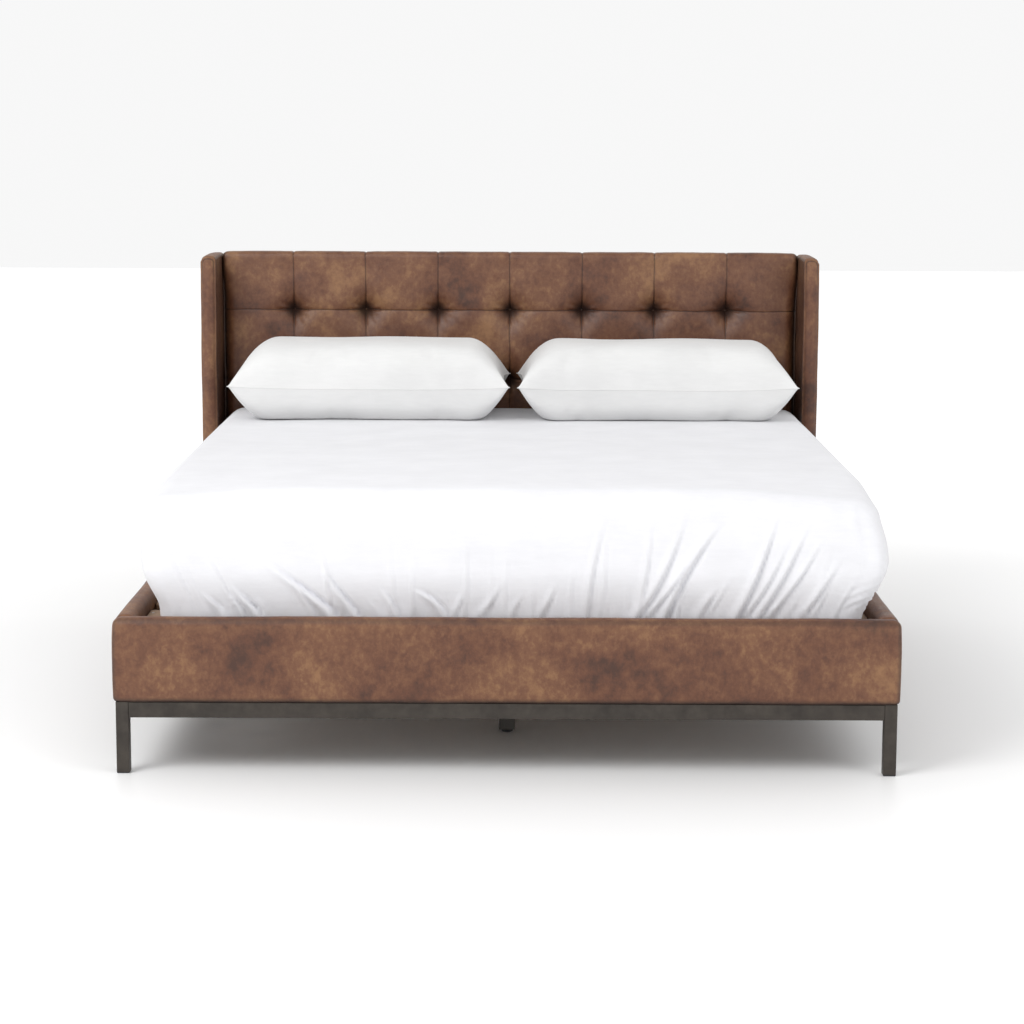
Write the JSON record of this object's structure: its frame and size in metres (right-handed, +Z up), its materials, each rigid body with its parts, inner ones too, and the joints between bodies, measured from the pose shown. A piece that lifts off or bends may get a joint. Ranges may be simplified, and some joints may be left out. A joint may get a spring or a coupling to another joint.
{
  "type": "upholstered headboard bed",
  "caption": "King-size bed with a tufted leather headboard between short wings, leather-covered rails, a low steel tube base, a slatted deck, a mattress in a fitted sheet and pillows.",
  "frame": {"origin": "middle of the footprint on the floor, at the bottom centre of the bounding box", "axes": "+Z up, +Y from the foot towards the headboard, +X to the right seen from the foot"},
  "size_m": [2.057, 2.2096, 1.267],
  "materials": {
    "brown_leather": "mottled brown waxed leather, satin",
    "steel_tube": "dark gunmetal, satin",
    "zinc_plate": "zinc-plated steel",
    "black_plastic": "black nylon, matte",
    "beech": "planed pale beech, unvarnished",
    "plywood": "raw plywood",
    "black_wood": "black-stained wood, satin",
    "sheet_cotton": "white cotton, plain weave",
    "mattress_ticking": "off-white woven ticking",
    "pillow_cotton": "white cotton with a corded edge"
  },
  "bodies": {
    "bed_frame": {"leg_front_left": "steel_tube", "glide_front_left": "black_plastic", "leg_rear_left": "steel_tube", "glide_rear_left": "black_plastic", "leg_front_right": "steel_tube", "glide_front_right": "black_plastic", "leg_rear_right": "steel_tube", "glide_rear_right": "black_plastic", "base_bar_front": "steel_tube", "base_bar_rear": "steel_tube", "base_bar_left": "steel_tube", "base_bar_right": "steel_tube", "centre_beam": "beech", "beam_saddle_foot": "zinc_plate", "beam_saddle_head": "zinc_plate", "centre_leg_1": "black_wood", "centre_leg_2": "black_wood", "centre_leg_3": "black_wood", "cleat_left": "beech", "cleat_right": "beech", "slat_01": "beech", "slat_02": "beech", "slat_03": "beech", "slat_04": "beech", "slat_05": "beech", "slat_06": "beech", "slat_07": "beech", "slat_08": "beech", "slat_09": "beech", "slat_10": "beech", "slat_11": "beech", "slat_12": "beech", "foot_rail_board": "plywood", "foot_rail_cover": "brown_leather", "side_rail_board_left": "plywood", "side_rail_cover_left": "brown_leather", "corner_bracket_foot_left": "zinc_plate", "corner_bracket_head_left": "zinc_plate", "wing_board_left": "plywood", "wing_cover_left": "brown_leather", "side_rail_board_right": "plywood", "side_rail_cover_right": "brown_leather", "corner_bracket_foot_right": "zinc_plate", "corner_bracket_head_right": "zinc_plate", "wing_board_right": "plywood", "wing_cover_right": "brown_leather", "headboard_core": "plywood", "tufted_pad": "brown_leather", "headboard_back_cover": "brown_leather"},
    "mattress": {"mattress": "mattress_ticking", "fitted_sheet": "sheet_cotton"},
    "pillow_left": {"pillow_left": "pillow_cotton"},
    "pillow_right": {"pillow_right": "pillow_cotton"},
    "levelling_foot_1": {"levelling_foot_1": "black_plastic"},
    "levelling_foot_2": {"levelling_foot_2": "black_plastic"},
    "levelling_foot_3": {"levelling_foot_3": "black_plastic"}
  },
  "joints": [
    {"name": "mattress_lift", "type": "slide", "parent": "bed_frame", "child": "mattress", "axis": [0, 0, 1], "range_m": [0, 0.25]},
    {"name": "pillow_left_lift", "type": "slide", "parent": "mattress", "child": "pillow_left", "axis": [0, 0, 1], "range_m": [0, 0.25]},
    {"name": "pillow_right_lift", "type": "slide", "parent": "mattress", "child": "pillow_right", "axis": [0, 0, 1], "range_m": [0, 0.25]},
    {"name": "levelling_foot_1_screw", "type": "slide", "parent": "bed_frame", "child": "levelling_foot_1", "axis": [0, 0, -1], "range_m": [0, 0.012]},
    {"name": "levelling_foot_2_screw", "type": "slide", "parent": "bed_frame", "child": "levelling_foot_2", "axis": [0, 0, -1], "range_m": [0, 0.012]},
    {"name": "levelling_foot_3_screw", "type": "slide", "parent": "bed_frame", "child": "levelling_foot_3", "axis": [0, 0, -1], "range_m": [0, 0.012]}
  ]
}
